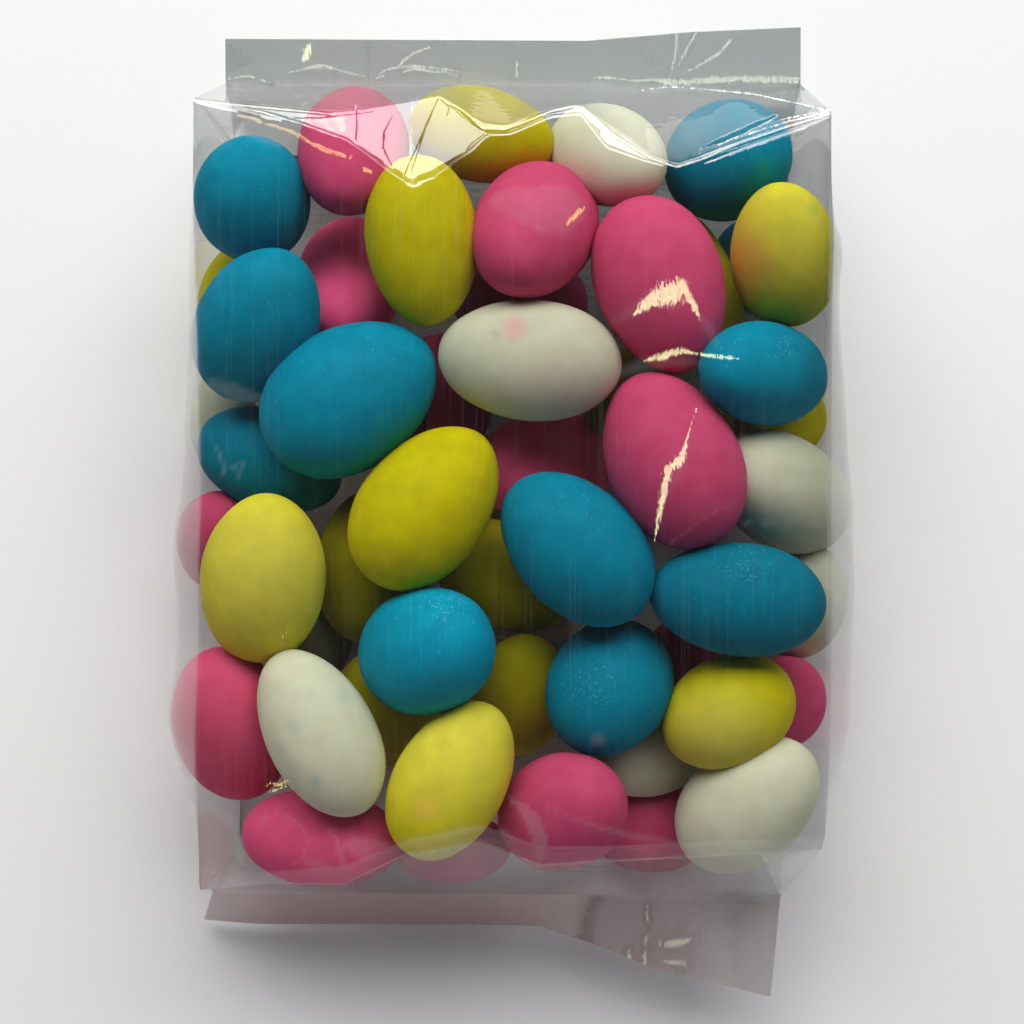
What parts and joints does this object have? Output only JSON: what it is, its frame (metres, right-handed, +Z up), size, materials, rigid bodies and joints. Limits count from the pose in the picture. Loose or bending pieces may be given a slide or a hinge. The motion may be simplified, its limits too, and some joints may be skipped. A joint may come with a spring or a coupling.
{
  "type": "bag of sugared almonds",
  "caption": "Clear side-gusset film bag filled with sugar-coated almonds in blue, pink, yellow and white, heat sealed at both ends and lying on its back.",
  "frame": {"origin": "on the surface the bag lies on, under the middle of its box", "axes": "+Y from the bottom seal to the top seal, +X to the right as the shown front is read, +Z up out of the shown front"},
  "size_m": [0.1005, 0.1452, 0.0375],
  "materials": {
    "film": "clear glossy film over matte sugar shells"
  },
  "bodies": {
    "root": {"bag": "film"}
  },
  "joints": []
}
